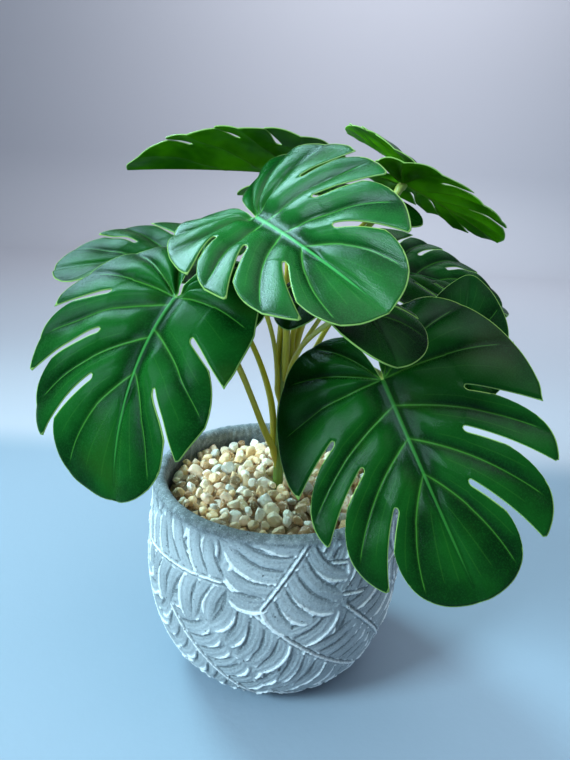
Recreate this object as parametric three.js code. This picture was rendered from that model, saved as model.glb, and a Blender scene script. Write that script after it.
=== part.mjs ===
// A potted bouquet of artificial monstera leaves: a round cement pot with a block of foam and a bed of
// pebbles in it, a moulded main stem pushed into the foam, and leaves that each sit on their own petiole.
// Millimetres, +Z up. The origin is the centre of the pot's flat base, and -Y is the bouquet's front.
import * as THREE from "three";

// ---- Driving dimensions ----
const POT_HEIGHT = 87.5;
const POT_BASE_R = 33;
const POT_BELLY_R = 56.5;
const POT_BELLY_Z = 50;
const POT_RIM_R = 54;
const POT_WALL = 5.5;
const POT_FLOOR = 8;
const FLOOR_FILLET = 4; // where the floor meets the wall inside
const WALL_STEPS = 7;
const FIT_GAP = 0.3; // between pieces that rest on each other
const RIM_TO_PEBBLES = 7.5; // from the rim down to the edge of the pebble bed
const PEBBLE_CROWN = 3;
const PEBBLE_DEPTH = 12;
const PEBBLE_BUMP = 0.9;
const PEBBLE_RINGS = 7;
const TRUNK_R = 2.3;
const TRUNK_TIP_R = 1.5;
const TRUNK_DEPTH = 46; // how far the main stem reaches down from the pebble bed's edge, and up from it
const TRUNK_HEIGHT = 70;
const BLADE_THICK = 0.6;
const STEM_R = 1.25; // petiole of a large leaf
const STEM_SMALL_R = 0.95;
const STEM_STEPS = 14;
const STEM_SIDES = 8;
const ROUND_SEGMENTS = 48;

// Every height of the bouquet is measured from the edge of the pebble bed.
const LEVEL = POT_HEIGHT - RIM_TO_PEBBLES;
const TRUNK_FOOT = LEVEL - TRUNK_DEPTH;
const TRUNK_TOP = LEVEL + TRUNK_HEIGHT;

// ---- Colours ----
const paint = (color, roughness) => new THREE.MeshStandardMaterial({ color, roughness, metalness: 0 });
const LEAF_GREEN = paint(0x1f6b2c, 0.38);
const STEM_OLIVE = paint(0x8a8a2e, 0.5);
const TRUNK_GREEN = paint(0x6f9440, 0.5);
const CEMENT = paint(0xa9b0b4, 0.9);
const PEBBLE = paint(0xcdb794, 0.75);
const FOAM = paint(0x4d5a42, 0.95);

// ---- Leaves ----
// at: where the petiole meets the blade, its height counted from the pebble bed's edge.
// turn: the midrib's heading from +X, its pitch and the roll about it, in degrees.
// length: from there to the tip. wide: width factor; wideLeft for the left half, where it differs.
// taper: share of the width lost towards the tip. bend: how far the tip droops, in degrees.
// fold: rise of the left and the right half, in degrees. droop: how far each half arches down again.
// cuts: the angle of each slit's mouth from the tip, seen from the petiole; cutsRight for the right half.
// depth: where each slit ends, as a share of the way from midrib to margin.
const DROOP = [0.1, 0.1];
const LARGE = { wide: 0.95, bend: 20, droop: DROOP, cuts: [57, 40, 21], depth: [0.5, 0.4, 0.38] };
const SMALL = { wide: 0.98, bend: 22, fold: [9, 8], droop: DROOP, cuts: [60], depth: [0.55] };
const LEAVES = [
  { name: "front_right", ...LARGE, at: [33, -45, 66], turn: [-65, -39, 39], length: 75,
    bend: 27, fold: [6, 2] },
  { name: "front_top", ...LARGE, at: [-12, -34.5, 115], turn: [-63, -8, 41], length: 69,
    wide: 0.78, bend: 19, fold: [17, 25], cuts: [62, 42, 21] },
  { name: "front_left", ...LARGE, at: [-37.5, -37.5, 88], turn: [-119, -35, 7], length: 71,
    wide: 1.03, wideLeft: 0.76, bend: 51, fold: [6, 17], droop: [0.3, 0.1], cuts: [54, 28],
    cutsRight: [70, 46, 27] },
  { name: "top_left", ...LARGE, at: [-3, 14, 131], turn: [175, 1, 12], length: 66,
    wide: 0.8, taper: 0.45, bend: 6, fold: [18, 27], cuts: [80, 57, 35],
    depth: [0.57, 0.68, 0.7] },
  { name: "top_right", ...LARGE, at: [41, 4, 129.5], turn: [14, -20, -8], length: 49,
    wide: 0.74, bend: 10, fold: [10, 10] },
  { name: "top_back", ...LARGE, at: [50, 34, 134.5], turn: [137, 26, 18], length: 41,
    wide: 0.75, bend: 4, fold: [16, 16] },
  { name: "back_right", ...LARGE, at: [37, 30, 94], turn: [7, -4, 18], length: 68,
    wide: 0.9, bend: 21, fold: [14, 12] },
  { name: "back_left", ...LARGE, at: [-38.5, 20.5, 94], turn: [190, 0, -12], length: 61,
    wide: 1, bend: 13, fold: [12, 14], cuts: [57, 30] },
  { name: "right_small", ...SMALL, at: [66, -17, 64], turn: [75, 75, 0], length: 37,
    wide: 0.9, taper: 0.5 },
  { name: "centre_small", ...SMALL, at: [18.5, -61.5, 94], turn: [-63, -6, -7], length: 29,
    wide: 1.05, bend: 38 },
  { name: "under_small", ...SMALL, at: [11, -24, 95], turn: [-128, -30, 10], length: 24 },
  { name: "inner_small", ...SMALL, at: [17, -9, 122], turn: [-10, -2, 20], length: 31,
    wide: 0.85 },
  { name: "left_small", ...SMALL, at: [-15, -27, 93], turn: [-100, -38, 5], length: 22, wide: 0.85 },
  { name: "top_small", ...SMALL, at: [1, -2, 125], turn: [176, 2, 10], length: 23, wide: 0.75 },
];

const SINUS = 162; // angle of the heart's notch edge from the tip, seen from the petiole
const PALM = 64; // from here back all veins start at the petiole
const MIDRIB_SHARE = 0.56; // the last vein leaves the midrib at this share of the length
const MIDRIB_HALF = 0.6;
const SLIT_HALF = 0.006; // half a slit, as a share of the half blade's span of veins
const SLIT_ROW = 2;
const ROWS = 4; // from midrib to margin
const CORNER = 0.24; // how far a finger's rounded side is cut back
const LOBE_SHARES = [0, 0.12, 0.35, 0.6, 0.82, 1]; // where the lobe, a finger and the tip have their veins
const FINGER_SHARES = [0, 0.16, 0.5, 1];
const TIP_SHARES = [0, 0.2, 0.5, 0.8, 1];
const deg = (d) => (d * Math.PI) / 180;
const mix = (a, b, t) => a + (b - a) * t;
const clamp = (v) => Math.min(1, Math.max(0, v));

// Radius of the heart-shaped margin from the petiole, as a share of the length, by angle from the tip.
const HEART = [
  [0, 1], [20, 0.93], [40, 0.8], [57, 0.7], [78, 0.61],
  [98, 0.545], [122, 0.49], [148, 0.41], [162, 0.34],
];
function heartRadius(angle) {
  const i = Math.max(1, HEART.findIndex(([a]) => a >= angle - 1e-9));
  const [[a0, r0], [a1, r1]] = [HEART[i - 1], HEART[i]];
  return mix(r0, r1, clamp((angle - a0) / (a1 - a0)));
}

// A point of the flat half blade. vein: 0 is the notch's edge and 1 the midrib. share: 0 at the midrib, 1 at
// the margin.
function flatPoint(leaf, vein, share) {
  const angle = SINUS * (1 - vein);
  const radius = heartRadius(angle) * leaf.length;
  const forward = radius * Math.cos(deg(angle));
  const slim = 1 - (leaf.taper ?? 0) * clamp(forward / leaf.length) ** 2;
  const edge = [forward, radius * Math.sin(deg(angle)) * leaf.wide * slim];
  const start = clamp((PALM - angle) / PALM) * MIDRIB_SHARE * leaf.length;
  const bow = 0.1 + 0.06 * clamp(1 - angle / 90);
  const offMidrib = clamp(angle / 12);
  const handle = [
    (start + edge[0]) / 2 - edge[1] * bow * offMidrib,
    (edge[1] / 2 + (edge[0] - start) * bow) * offMidrib,
  ];
  const [p, q, r] = [(1 - share) ** 2, 2 * share * (1 - share), share ** 2];
  const x = p * start + q * handle[0] + r * edge[0];
  const half = MIDRIB_HALF * clamp((1 - x / leaf.length) * 4);
  return [x, half + (q * handle[1] + r * edge[1]) * (1 - half / (leaf.length * 0.6))];
}

// Folds, arches and bends a flat point of the left (side 1) or the right (side -1) half.
function liftPoint(leaf, side, [x, y]) {
  const i = side > 0 ? 0 : 1;
  const span = 0.6 * leaf.length * leaf.wide;
  const sag = -leaf.droop[i] * span * (y / span) ** 2;
  const fold = deg(leaf.fold[i]);
  const across = y * Math.cos(fold) - sag * Math.sin(fold);
  const height = y * Math.sin(fold) + sag * Math.cos(fold);
  const curve = leaf.length / deg(leaf.bend);
  const turn = x / curve;
  const out = curve + height;
  return new THREE.Vector3(Math.sin(turn) * out, side * across, Math.cos(turn) * out - curve);
}

// The veins at which a half blade has points, finger by finger, and how far each finger's margin reaches.
function fingerColumns(leaf, side) {
  const cuts = side < 0 && leaf.cutsRight ? leaf.cutsRight : leaf.cuts;
  const ends = [0, ...cuts.map((c) => 1 - c / SINUS), 1];
  const depthAt = (k) => leaf.depth[Math.min(Math.max(k, 0), leaf.depth.length - 1)];
  return ends.slice(1).map((end, j) => {
    const first = j === 0;
    const last = j === ends.length - 2;
    const shares = first ? LOBE_SHARES : last ? TIP_SHARES : FINGER_SHARES;
    const from = ends[j] + (first ? 0 : SLIT_HALF);
    const to = end - (last ? 0 : SLIT_HALF);
    return shares.map((t) => {
      const reach = first ? 1 - 0.15 * (1 - clamp(t * 3)) ** 2 : 1 - CORNER * (1 - t) ** 2;
      const slit = mix(depthAt(j - 1), depthAt(j), t);
      return { vein: mix(from, to, t), shared: mix(ends[j], end, t), reach, slit };
    });
  });
}

// The whole blade as points and triangles of its middle surface, upper side counter-clockwise.
function bladeSurface(leaf) {
  const points = [];
  const faces = [];
  const known = new Map();
  const add = (half, side, flat) => {
    const p = liftPoint(half, side, flat);
    const key = [p.x, p.y, p.z].map((v) => Math.round(v * 1e3)).join();
    if (!known.has(key)) known.set(key, points.push(p) - 1);
    return known.get(key);
  };
  const face = (a, b, c) => {
    if (a !== b && b !== c && a !== c) faces.push([a, b, c]);
  };
  const spine = {};
  for (const side of [1, -1]) {
    const half = { ...leaf, wide: (side > 0 && leaf.wideLeft) || leaf.wide };
    let column;
    spine[side] = [];
    for (const finger of fingerColumns(leaf, side)) {
      column = null;
      for (const c of finger) {
        const next = Array.from({ length: ROWS + 1 }, (_, row) => {
          const inner = row <= SLIT_ROW;
          const outer = (row - SLIT_ROW) / (ROWS - SLIT_ROW);
          const share = inner ? (row / SLIT_ROW) * c.slit : mix(c.slit, c.reach, outer);
          return add(half, side, flatPoint(half, inner ? c.shared : c.vein, share));
        });
        if (column)
          for (let row = 0; row < ROWS; row++) {
            const [a, b, d, e] = [column[row], column[row + 1], next[row + 1], next[row]];
            if (side > 0) {
              face(a, e, d);
              face(a, d, b);
            } else {
              face(a, d, e);
              face(a, b, d);
            }
          }
        column = next;
        if (spine[side].at(-1) !== next[0]) spine[side].push(next[0]);
      }
    }
    spine[side].push(...column.slice(1)); // the last vein lies on the midrib itself
  }
  // The midrib's strip, zipped between the two halves by their distance along the leaf.
  let [i, j] = [0, 0];
  const [left, right] = [spine[1], spine[-1]];
  while (i < left.length - 1 || j < right.length - 1) {
    const rightDone = j === right.length - 1;
    const leftDone = i === left.length - 1;
    if (rightDone || (!leftDone && points[left[i + 1]].x <= points[right[j + 1]].x)) {
      face(left[i], right[j], left[i + 1]);
      i++;
    } else {
      face(left[i], right[j], right[j + 1]);
      j++;
    }
  }
  return { points, faces };
}

// Gives a surface a thickness: both sides are offset along the vertex normals, and every open edge is closed.
function thicken({ points, faces }, thickness) {
  const normals = points.map(() => new THREE.Vector3());
  const edges = new Map();
  for (const [a, b, c] of faces) {
    const n = points[b].clone().sub(points[a]).cross(points[c].clone().sub(points[a]));
    for (const v of [a, b, c]) normals[v].add(n);
    for (const [p, q] of [[a, b], [b, c], [c, a]]) {
      if (!edges.delete(q + "," + p)) edges.set(p + "," + q, [p, q]);
    }
  }
  const count = points.length;
  for (const n of normals) n.normalize();
  const offset = (by) => points.flatMap((p, k) => p.clone().addScaledVector(normals[k], by).toArray());
  const index = [];
  for (const [a, b, c] of faces) index.push(a, b, c, c + count, b + count, a + count);
  for (const [p, q] of edges.values()) index.push(q, p, p + count, q, p + count, q + count);
  const geometry = new THREE.BufferGeometry();
  const both = [...offset(thickness / 2), ...offset(-thickness / 2)];
  geometry.setAttribute("position", new THREE.Float32BufferAttribute(both, 3));
  geometry.setIndex(index);
  return geometry;
}

const outward = (angle) => new THREE.Vector3(Math.cos(deg(angle)), Math.sin(deg(angle)), 0);

// The blade's own directions: along the midrib, to the left, and up out of the upper side.
function bladeAxes([heading, pitch, roll]) {
  const ahead = outward(heading);
  const along = ahead.clone().multiplyScalar(Math.cos(deg(pitch))).setZ(Math.sin(deg(pitch)));
  const level = outward(heading + 90);
  const rise = new THREE.Vector3().crossVectors(along, level);
  const left = level.clone().multiplyScalar(Math.cos(deg(roll))).addScaledVector(rise, Math.sin(deg(roll)));
  const up = rise.clone().multiplyScalar(Math.cos(deg(roll))).addScaledVector(level, -Math.sin(deg(roll)));
  return { along, left, up };
}

const seat = ({ at: [x, y, height] }) => new THREE.Vector3(x, y, LEVEL + height);

function leafMesh(leaf) {
  const { along, left, up } = bladeAxes(leaf.turn);
  const mesh = new THREE.Mesh(thicken(bladeSurface(leaf), BLADE_THICK), LEAF_GREEN);
  mesh.name = "leaf_" + leaf.name;
  mesh.quaternion.setFromRotationMatrix(new THREE.Matrix4().makeBasis(along, left, up));
  mesh.position.copy(seat(leaf));
  return mesh;
}

// ---- Petioles ----
// Each leaves the main stem's side at an angle and a height, and ends under its blade.
// from: that angle in degrees, and the height above the pebble bed's edge. lift and lean: how far it heads
// up and out before it turns. arrive: how much it comes in along the blade instead of straight onto it.
// bow: how far back from the blade that last stretch begins.
const STEMS = {
  front_right: { from: [-62, 24], lift: 26, arrive: 0.8 },
  front_top: { from: [-84, 58], lift: 26, arrive: 0.1 },
  front_left: { from: [-140, 18], lift: 26, lean: 15, arrive: 0.4, bow: 30 },
  top_left: { from: [105, 58], lift: 44, arrive: 0.1 },
  top_right: { from: [16, 50], lift: 44, arrive: 0.1 },
  top_back: { from: [64, 42], lift: 66, arrive: 0.2 },
  back_right: { from: [42, 20], lift: 35, arrive: 0.4 },
  back_left: { from: [150, 22], lift: 35, arrive: 0.4 },
  right_small: { from: [-16, 28], lift: 15, arrive: 0.4 },
  centre_small: { from: [-78, 38], lift: 30, arrive: 0.5 },
  under_small: { from: [-42, 50], lift: 16, arrive: 0.4 },
  inner_small: { from: [-28, 62], lift: 32, arrive: 0.3 },
  left_small: { from: [-150, 46], lift: 18, arrive: 0.5 },
  top_small: { from: [165, 56], lift: 44, arrive: 0.1 },
};

const trunkRadius = (z) => mix(TRUNK_R, TRUNK_TIP_R, clamp((z - LEVEL) / (TRUNK_TOP - LEVEL)));

function stemCurve(leaf, stem, radius) {
  const { along, up } = bladeAxes(leaf.turn);
  const [angle, height] = [stem.from[0], LEVEL + stem.from[1]];
  const off = trunkRadius(height) + FIT_GAP + radius;
  const foot = outward(angle).multiplyScalar(off).setZ(height);
  const below = radius + BLADE_THICK / 2 + FIT_GAP + 0.4;
  const end = seat(leaf).addScaledVector(up, -below).addScaledVector(along, -0.5);
  const arrive = along.clone().multiplyScalar(stem.arrive).addScaledVector(up, 1 - stem.arrive).normalize();
  const rise = outward(angle).multiplyScalar(stem.lean ?? 0).setZ(stem.lift);
  const approach = end.clone().addScaledVector(arrive, -(stem.bow ?? 16));
  return new THREE.CubicBezierCurve3(foot, foot.clone().add(rise), approach, end);
}

function stemMesh(leaf) {
  const stem = STEMS[leaf.name];
  const radius = leaf.cuts.length > 1 && leaf.length > 45 ? STEM_R : STEM_SMALL_R;
  const section = new THREE.Shape(Array.from({ length: STEM_SIDES }, (_, k) => {
    const turn = (2 * Math.PI * k) / STEM_SIDES;
    return new THREE.Vector2(radius * Math.cos(turn), radius * Math.sin(turn));
  }));
  const extrudePath = stemCurve(leaf, stem, radius);
  const geometry = new THREE.ExtrudeGeometry(section, { steps: STEM_STEPS, extrudePath });
  const mesh = new THREE.Mesh(geometry, STEM_OLIVE);
  mesh.name = "petiole_" + leaf.name;
  return mesh;
}

// ---- Pot and what it holds ----
// A profile runs up the outside and down the inside, as [radius, height] pairs, and turns about +Z.
function turned(name, profile, material, segments = ROUND_SEGMENTS) {
  const geometry = new THREE.LatheGeometry(profile.map(([r, z]) => new THREE.Vector2(r, z)), segments);
  geometry.rotateX(Math.PI / 2);
  const mesh = new THREE.Mesh(geometry, material);
  mesh.name = name;
  return mesh;
}

const flat = (r, z) => new THREE.Vector2(r, z);

function potOutside() {
  const foot = flat(POT_BASE_R, 0);
  const belly = flat(POT_BELLY_R, POT_BELLY_Z);
  const shoulder = flat(POT_RIM_R, POT_HEIGHT - POT_WALL / 2);
  const lower = new THREE.CubicBezierCurve(foot, flat(POT_BASE_R + 14, 3), flat(belly.x, belly.y / 2), belly);
  const neck = flat(shoulder.x + 0.4, shoulder.y - 10);
  const upper = new THREE.CubicBezierCurve(belly, flat(belly.x, belly.y + 14), neck, shoulder);
  return [...lower.getPoints(8), ...upper.getPoints(6).slice(1)].map((p) => [p.x, p.y]);
}

// Radius at a height, read off a profile that rises from point to point.
function radiusAt(profile, z) {
  const k = Math.max(1, profile.findIndex(([, height]) => height >= z));
  const [[r0, z0], [r1, z1]] = [profile[k - 1], profile[k]];
  return mix(r0, r1, clamp((z - z0) / (z1 - z0)));
}

// The pot's inner wall, from the floor's fillet up to the lip.
function innerWall() {
  const outside = potOutside();
  return Array.from({ length: WALL_STEPS + 1 }, (_, k) => {
    const z = mix(POT_FLOOR + FLOOR_FILLET, POT_HEIGHT - POT_WALL / 2, k / WALL_STEPS);
    return [radiusAt(outside, z) - POT_WALL, z];
  });
}

// The side of a filling that follows the inner wall between two heights, with a gap.
function fillingSide(from, to) {
  const wall = innerWall();
  const heights = [from, ...wall.map(([, z]) => z).filter((z) => z > from + 0.5 && z < to - 0.5), to];
  return heights.map((z) => [radiusAt(wall, z) - 2 * FIT_GAP, z]);
}

function potProfile() {
  const lip = POT_WALL / 2;
  const rim = Array.from({ length: 5 }, (_, k) => {
    const turn = ((k + 1) * Math.PI) / 6;
    return [POT_RIM_R - lip + lip * Math.cos(turn), POT_HEIGHT - lip + lip * Math.sin(turn)];
  });
  const inside = innerWall().reverse();
  const floor = [inside.at(-1)[0] - FLOOR_FILLET, POT_FLOOR];
  return [[0, 0], ...potOutside(), ...rim, ...inside, floor, [0, POT_FLOOR]];
}

function foamProfile() {
  const top = LEVEL - PEBBLE_DEPTH - FIT_GAP;
  const bottom = POT_FLOOR + FIT_GAP;
  const hole = TRUNK_R + FIT_GAP;
  const side = fillingSide(POT_FLOOR + FLOOR_FILLET + 1, top);
  const corner = [side[0][0] - FLOOR_FILLET - 1, bottom];
  return [[0, bottom], corner, ...side, [hole, top], [hole, TRUNK_FOOT - FIT_GAP], [0, TRUNK_FOOT - FIT_GAP]];
}

// The pebble bed: a ring round the main stem whose upper side is crowned and lumpy.
function pebbleBed() {
  const bottom = LEVEL - PEBBLE_DEPTH;
  const hole = TRUNK_R + FIT_GAP;
  const profile = fillingSide(bottom, LEVEL);
  const edge = profile.at(-1)[0];
  for (let k = 1; k <= PEBBLE_RINGS; k++) {
    const share = 1 - k / PEBBLE_RINGS;
    profile.push([mix(hole, edge, share), LEVEL + PEBBLE_CROWN * (1 - share * share)]);
  }
  profile.push([hole, bottom], profile[0]);
  const mesh = turned("pebble_bed", profile, PEBBLE, 40);
  const position = mesh.geometry.attributes.position;
  for (let i = 0; i < position.count; i++) {
    const [x, y, z] = [position.getX(i), position.getY(i), position.getZ(i)];
    if (z < LEVEL - 1 || Math.hypot(x, y) < hole + 1) continue;
    const lump = Math.sin(x * 0.9 + 2.1 * Math.sin(y * 0.4)) * Math.sin(y * 1.1 + 1.7 * Math.sin(x * 0.5));
    position.setZ(i, z + PEBBLE_BUMP * lump);
  }
  return mesh;
}

function mainStem() {
  const heights = Array.from({ length: 5 }, (_, k) => mix(LEVEL, TRUNK_TOP - 1, k / 4));
  const side = heights.map((z) => [trunkRadius(z), z]);
  const foot = [[0, TRUNK_FOOT], [TRUNK_R / 2, TRUNK_FOOT], [TRUNK_R, TRUNK_FOOT + 4]];
  const tip = [[TRUNK_TIP_R / 2, TRUNK_TOP], [0, TRUNK_TOP]];
  return turned("main_stem", [...foot, ...side, ...tip], TRUNK_GREEN, 16);
}

const group = new THREE.Group();
group.add(turned("pot", potProfile(), CEMENT));
group.add(turned("foam_block", foamProfile(), FOAM, 32));
group.add(pebbleBed());
group.add(mainStem());
for (const leaf of LEAVES) {
  group.add(stemMesh(leaf));
  group.add(leafMesh(leaf));
}

export default group;
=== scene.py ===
import bpy
import math
import numpy as np
from mathutils import Matrix, Vector


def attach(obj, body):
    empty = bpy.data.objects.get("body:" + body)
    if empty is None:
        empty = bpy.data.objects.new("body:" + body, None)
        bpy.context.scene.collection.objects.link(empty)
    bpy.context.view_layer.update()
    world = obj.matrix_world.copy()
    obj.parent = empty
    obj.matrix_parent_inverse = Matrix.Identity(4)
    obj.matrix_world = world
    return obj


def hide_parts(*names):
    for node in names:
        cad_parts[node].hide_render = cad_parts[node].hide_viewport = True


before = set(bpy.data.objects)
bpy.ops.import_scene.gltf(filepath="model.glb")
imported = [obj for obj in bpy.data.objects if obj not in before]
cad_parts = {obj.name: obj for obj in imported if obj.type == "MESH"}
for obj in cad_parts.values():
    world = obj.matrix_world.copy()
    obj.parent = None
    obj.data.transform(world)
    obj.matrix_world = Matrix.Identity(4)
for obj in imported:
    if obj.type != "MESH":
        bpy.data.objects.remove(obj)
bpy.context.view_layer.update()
MM = 0.001

# ---- The same design values as the CAD source, in millimetres ----
POT_HEIGHT, POT_BASE_R, POT_BELLY_R, POT_BELLY_Z, POT_RIM_R = 87.5, 33.0, 56.5, 50.0, 54.0
POT_WALL, POT_FLOOR = 5.5, 8.0
LEVEL = 80.0  # edge of the pebble bed; the bouquet's heights count from here
CROWN, BED_DEPTH, BED_R = 3.0, 12.0, 48.0
TRUNK_R, TRUNK_TIP_R, TRUNK_FOOT, TRUNK_TOP = 2.3, 1.5, 34.0, 150.0
BLADE_THICK, STEM_R, STEM_SMALL_R = 0.6, 1.25, 0.95
SINUS, PALM, MIDRIB_SHARE = 162.0, 64.0, 0.56

LARGE = dict(wide=0.95, bend=20, fold=(8, 8), droop=(0.1, 0.1), cuts=(57, 40, 21), depth=(0.5, 0.4, 0.38))
SMALL = dict(wide=0.98, bend=22, fold=(9, 8), droop=(0.1, 0.1), cuts=(60,), depth=(0.55,))
LEAVES = {
    "front_right": dict(LARGE, at=(33, -45, 66), turn=(-65, -39, 39), length=75, bend=27, fold=(6, 2)),
    "front_top": dict(LARGE, at=(-12, -34.5, 115), turn=(-63, -8, 41), length=69, wide=0.78, bend=19,
                      fold=(17, 25), cuts=(62, 42, 21)),
    "front_left": dict(LARGE, at=(-37.5, -37.5, 88), turn=(-119, -35, 7), length=71, wide=1.03,
                       wide_left=0.76, bend=51, fold=(6, 17), droop=(0.3, 0.1), cuts=(54, 28),
                       cuts_right=(70, 46, 27)),
    "top_left": dict(LARGE, at=(-3, 14, 131), turn=(175, 1, 12), length=66, wide=0.8, taper=0.45, bend=6,
                     fold=(18, 27), cuts=(80, 57, 35), depth=(0.57, 0.68, 0.7)),
    "top_right": dict(LARGE, at=(41, 4, 129.5), turn=(14, -20, -8), length=49, wide=0.74, bend=10,
                      fold=(10, 10)),
    "top_back": dict(LARGE, at=(50, 34, 134.5), turn=(137, 26, 18), length=41, wide=0.75, bend=4,
                     fold=(16, 16)),
    "back_right": dict(LARGE, at=(37, 30, 94), turn=(7, -4, 18), length=68, wide=0.9, bend=21,
                       fold=(14, 12)),
    "back_left": dict(LARGE, at=(-38.5, 20.5, 94), turn=(190, 0, -12), length=61, wide=1, bend=13,
                      fold=(12, 14), cuts=(57, 30)),
    "right_small": dict(SMALL, at=(66, -17, 64), turn=(75, 75, 0), length=37, wide=0.9, taper=0.5),
    "centre_small": dict(SMALL, at=(18.5, -61.5, 94), turn=(-63, -6, -7), length=29, wide=1.05, bend=38),
    "under_small": dict(SMALL, at=(11, -24, 95), turn=(-128, -30, 10), length=24),
    "inner_small": dict(SMALL, at=(17, -9, 122), turn=(-10, -2, 20), length=31, wide=0.85),
    "left_small": dict(SMALL, at=(-15, -27, 93), turn=(-100, -38, 5), length=22, wide=0.85),
    "top_small": dict(SMALL, at=(1, -2, 125), turn=(176, 2, 10), length=23, wide=0.75),
}
STEMS = {
    "front_right": dict(root=(-62, 24), lift=26, arrive=0.8),
    "front_top": dict(root=(-84, 58), lift=26, arrive=0.1),
    "front_left": dict(root=(-140, 18), lift=26, lean=15, arrive=0.4, bow=30),
    "top_left": dict(root=(105, 58), lift=44, arrive=0.1),
    "top_right": dict(root=(16, 50), lift=44, arrive=0.1),
    "top_back": dict(root=(64, 42), lift=66, arrive=0.2),
    "back_right": dict(root=(42, 20), lift=35, arrive=0.4),
    "back_left": dict(root=(150, 22), lift=35, arrive=0.4),
    "right_small": dict(root=(-16, 28), lift=15, arrive=0.4),
    "centre_small": dict(root=(-78, 38), lift=30, arrive=0.5),
    "under_small": dict(root=(-42, 50), lift=16, arrive=0.4),
    "inner_small": dict(root=(-28, 62), lift=32, arrive=0.3),
    "left_small": dict(root=(-150, 46), lift=18, arrive=0.5),
    "top_small": dict(root=(165, 56), lift=44, arrive=0.1),
}
# Each slit's opening at the margin and how far the finger beside it falls back: (mouth, corner).
FINGERS = dict(front_right=(1.0, 0.32), front_top=(0.55, 0.2), front_left=(0.5, 0.2),
               top_left=(0.0, 0.05), top_right=(0.15, 0.07), top_back=(0.4, 0.1),
               back_right=(0.2, 0.08), back_left=(0.3, 0.12))
USUAL_FINGER = (0.5, 0.12)
# Each leaf's tone is painted light and shade: 0 paints the darkest, most shaded leaf and 1 the palest, most
# lit one.
PAINTED_LIGHT_TONE = dict(front_top=0.75, front_left=0.42, front_right=0.25, back_left=0.3, back_right=0.3,
            right_small=0.35, centre_small=0.1, under_small=0.0, inner_small=0.05, left_small=0.6,
            top_left=0.3, top_right=0.3, top_back=0.35, top_small=0.1)
# How strongly the clear coat shines, where it isn't the usual share.
COAT = dict(front_top=0.34, front_left=0.04, front_right=0.15, back_left=0.0)
USUAL_COAT = 0.1


def smooth(lo, hi, x):
    t = np.clip((np.asarray(x, float) - lo) / (hi - lo), 0, 1)
    return t * t * (3 - 2 * t)


def noise2(x, y, seed=0):
    """Smooth value noise on arrays, about -1 to 1."""
    x, y = np.asarray(x, float), np.asarray(y, float)
    xi, yi = np.floor(x), np.floor(y)
    fx, fy = x - xi, y - yi
    fx, fy = fx * fx * (3 - 2 * fx), fy * fy * (3 - 2 * fy)

    def corner(i, j):
        v = np.sin((xi + i) * 127.1 + (yi + j) * 311.7 + seed * 74.7) * 43758.5453
        return (v - np.floor(v)) * 2 - 1

    top = corner(0, 0) * (1 - fx) + corner(1, 0) * fx
    low = corner(0, 1) * (1 - fx) + corner(1, 1) * fx
    return top * (1 - fy) + low * fy


def build(name, verts, faces, attributes=()):
    """A smooth mesh object: verts in millimetres, faces as index lists, attributes as (name, values)."""
    mesh = bpy.data.meshes.new(name)
    verts = np.asarray(verts, float) * MM
    mesh.from_pydata(verts.tolist(), [], faces if isinstance(faces, list) else faces.tolist())
    mesh.validate()
    for label, values in attributes:
        values = np.asarray(values, float)
        if values.ndim == 1:
            a = mesh.attributes.new(label, "FLOAT", "POINT")
            a.data.foreach_set("value", values.astype(np.float32))
        else:
            a = mesh.attributes.new(label, "FLOAT_VECTOR", "POINT")
            a.data.foreach_set("vector", values.astype(np.float32).ravel())
    mesh.polygons.foreach_set("use_smooth", np.ones(len(mesh.polygons), bool))
    mesh.update()
    obj = bpy.data.objects.new(name, mesh)
    bpy.context.scene.collection.objects.link(obj)
    return obj


# ---- Materials ----
THREAD = 0.55  # one wave of the leaf cloth's weave, in millimetres


class Nodes:
    """A short way to write a material's node tree."""

    def __init__(self, name):
        self.material = bpy.data.materials.new(name)
        self.material.use_nodes = True
        self.tree = self.material.node_tree
        self.shader = next(n for n in self.tree.nodes if n.type == "BSDF_PRINCIPLED")

    def add(self, kind, **settings):
        node = self.tree.nodes.new("ShaderNode" + kind)
        for key, value in settings.items():
            setattr(node, key, value)
        return node

    def plug(self, value, socket):
        if isinstance(value, bpy.types.NodeSocket):
            self.tree.links.new(value, socket)
        else:
            socket.default_value = value

    def value(self, name):
        return self.add("Attribute", attribute_name=name).outputs["Fac"]

    def place(self, name="blade"):
        return self.add("Attribute", attribute_name=name).outputs["Vector"]

    def math(self, kind, a, b=0.0, clamp=False):
        node = self.add("Math", operation=kind, use_clamp=clamp)
        self.plug(a, node.inputs[0])
        self.plug(b, node.inputs[1])
        return node.outputs[0]

    def ramp(self, value, lo, hi, out_lo=0.0, out_hi=1.0):
        node = self.add("MapRange", interpolation_type="SMOOTHSTEP")
        self.plug(value, node.inputs[0])
        for k, v in enumerate((lo, hi, out_lo, out_hi)):
            node.inputs[k + 1].default_value = v
        return node.outputs[0]

    def mix(self, share, a, b):
        node = self.add("Mix", data_type="RGBA")
        self.plug(share, node.inputs[0])
        for value, socket in ((a, node.inputs[6]), (b, node.inputs[7])):
            self.plug(value if isinstance(value, bpy.types.NodeSocket) else (*value, 1.0), socket)
        return node.outputs[2]

    def noise(self, place, scale, detail=3.0, roughness=0.55):
        node = self.add("TexNoise")
        self.plug(place, node.inputs["Vector"])
        node.inputs["Scale"].default_value = scale
        node.inputs["Detail"].default_value = detail
        node.inputs["Roughness"].default_value = roughness
        return node.outputs["Fac"]

    def bump(self, height, strength, distance):
        node = self.add("Bump")
        node.inputs["Strength"].default_value = strength
        node.inputs["Distance"].default_value = distance
        self.plug(height, node.inputs["Height"])
        return node.outputs["Normal"]

    def set(self, **sockets):
        for key, value in sockets.items():
            socket = self.shader.inputs[key.replace("_", " ")]
            if isinstance(value, tuple) and len(value) == 3 and socket.type == "RGBA":
                value = (*value, 1.0)
            self.plug(value, socket)


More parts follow.
